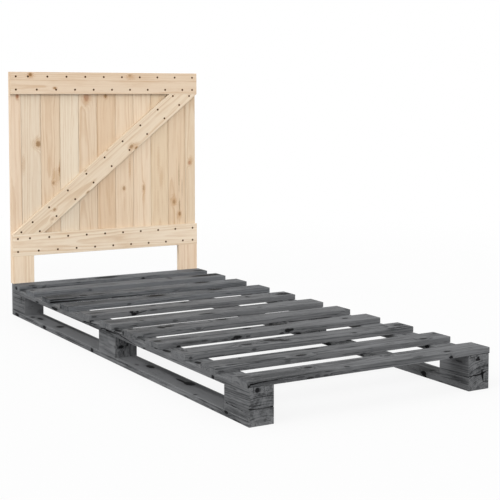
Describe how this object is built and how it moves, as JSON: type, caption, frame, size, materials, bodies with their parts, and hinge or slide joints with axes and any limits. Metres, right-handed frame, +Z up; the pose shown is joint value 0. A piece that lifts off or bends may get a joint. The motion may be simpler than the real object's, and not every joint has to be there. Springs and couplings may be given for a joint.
{
  "type": "single bed frame with headboard",
  "caption": "Low single bed frame of the pallet kind: grey stained runners, blocks, stringers and cross slats, with a natural pine boarded headboard and diagonal brace.",
  "frame": {"origin": "on the floor, at the centre of the bed's width and of its overall length", "axes": "+X across the bed to the right of someone who stands at the foot and looks at the headboard, +Y from the foot to the headboard, +Z up"},
  "size_m": [0.9, 2.031, 1.04],
  "materials": {
    "runner_left": "sawn softwood under a thin grey stain, dark knots and cracks",
    "runner_right": "sawn softwood under a thin grey stain, dark knots and cracks",
    "block_foot_left": "sawn softwood under a thin grey stain, dark knots and cracks",
    "block_foot_right": "sawn softwood under a thin grey stain, dark knots and cracks",
    "block_middle_left": "sawn softwood under a thin grey stain, dark knots and cracks",
    "block_middle_right": "sawn softwood under a thin grey stain, dark knots and cracks",
    "block_head_left": "sawn softwood under a thin grey stain, dark knots and cracks",
    "block_head_right": "sawn softwood under a thin grey stain, dark knots and cracks",
    "stringer_left": "sawn softwood under a thin grey stain, dark knots and cracks",
    "stringer_right": "sawn softwood under a thin grey stain, dark knots and cracks",
    "slat_01": "sawn softwood under a thin grey stain, dark knots and cracks",
    "slat_02": "sawn softwood under a thin grey stain, dark knots and cracks",
    "slat_03": "sawn softwood under a thin grey stain, dark knots and cracks",
    "slat_04": "sawn softwood under a thin grey stain, dark knots and cracks",
    "slat_05": "sawn softwood under a thin grey stain, dark knots and cracks",
    "slat_06": "sawn softwood under a thin grey stain, dark knots and cracks",
    "slat_07": "sawn softwood under a thin grey stain, dark knots and cracks",
    "slat_08": "sawn softwood under a thin grey stain, dark knots and cracks",
    "slat_09": "sawn softwood under a thin grey stain, dark knots and cracks",
    "slat_10": "sawn softwood under a thin grey stain, dark knots and cracks",
    "slat_11": "sawn softwood under a thin grey stain, dark knots and cracks",
    "leg_left": "planed pale pine, and the hidden part behind the base in the grey stain",
    "leg_right": "planed pale pine, and the hidden part behind the base in the grey stain",
    "bottom_rail": "planed pale pine, oiled matt, fine straight grain and small brown knots",
    "top_rail": "planed pale pine, oiled matt, fine straight grain and small brown knots",
    "diagonal_brace": "planed pale pine, oiled matt, fine straight grain and small brown knots",
    "plank_01": "planed pale pine, oiled matt, fine straight grain and small brown knots",
    "plank_02": "planed pale pine, oiled matt, fine straight grain and small brown knots",
    "plank_03": "planed pale pine, oiled matt, fine straight grain and small brown knots",
    "plank_04": "planed pale pine, oiled matt, fine straight grain and small brown knots",
    "plank_05": "planed pale pine, oiled matt, fine straight grain and small brown knots",
    "plank_06": "planed pale pine, oiled matt, fine straight grain and small brown knots",
    "plank_07": "planed pale pine, oiled matt, fine straight grain and small brown knots",
    "plank_08": "planed pale pine, oiled matt, fine straight grain and small brown knots",
    "plank_09": "planed pale pine, oiled matt, fine straight grain and small brown knots",
    "plank_10": "planed pale pine, oiled matt, fine straight grain and small brown knots",
    "plank_11": "planed pale pine, oiled matt, fine straight grain and small brown knots",
    "nail_steel": "dull brown steel of plain wire nails",
    "stained_nails": "nail heads brushed over with the grey stain of the slats",
    "zinc_steel": "dull zinc plate"
  },
  "bodies": {
    "root": {"runner_left": "runner_left", "runner_right": "runner_right", "block_foot_left": "block_foot_left", "block_foot_right": "block_foot_right", "block_middle_left": "block_middle_left", "block_middle_right": "block_middle_right", "block_head_left": "block_head_left", "block_head_right": "block_head_right", "stringer_left": "stringer_left", "stringer_right": "stringer_right", "slat_01": "slat_01", "slat_02": "slat_02", "slat_03": "slat_03", "slat_04": "slat_04", "slat_05": "slat_05", "slat_06": "slat_06", "slat_07": "slat_07", "slat_08": "slat_08", "slat_09": "slat_09", "slat_10": "slat_10", "slat_11": "slat_11", "leg_left": "leg_left", "leg_right": "leg_right", "bottom_rail": "bottom_rail", "top_rail": "top_rail", "diagonal_brace": "diagonal_brace", "plank_01": "plank_01", "plank_02": "plank_02", "plank_03": "plank_03", "plank_04": "plank_04", "plank_05": "plank_05", "plank_06": "plank_06", "plank_07": "plank_07", "plank_08": "plank_08", "plank_09": "plank_09", "plank_10": "plank_10", "plank_11": "plank_11", "slat_nails": "stained_nails", "top_rail_nails": "nail_steel", "bottom_rail_nails": "nail_steel", "brace_nails": "nail_steel", "leg_nails": "nail_steel", "stringer_screws": "zinc_steel", "runner_screws": "zinc_steel", "leg_bolts": "zinc_steel", "leg_washers": "zinc_steel"}
  },
  "joints": []
}
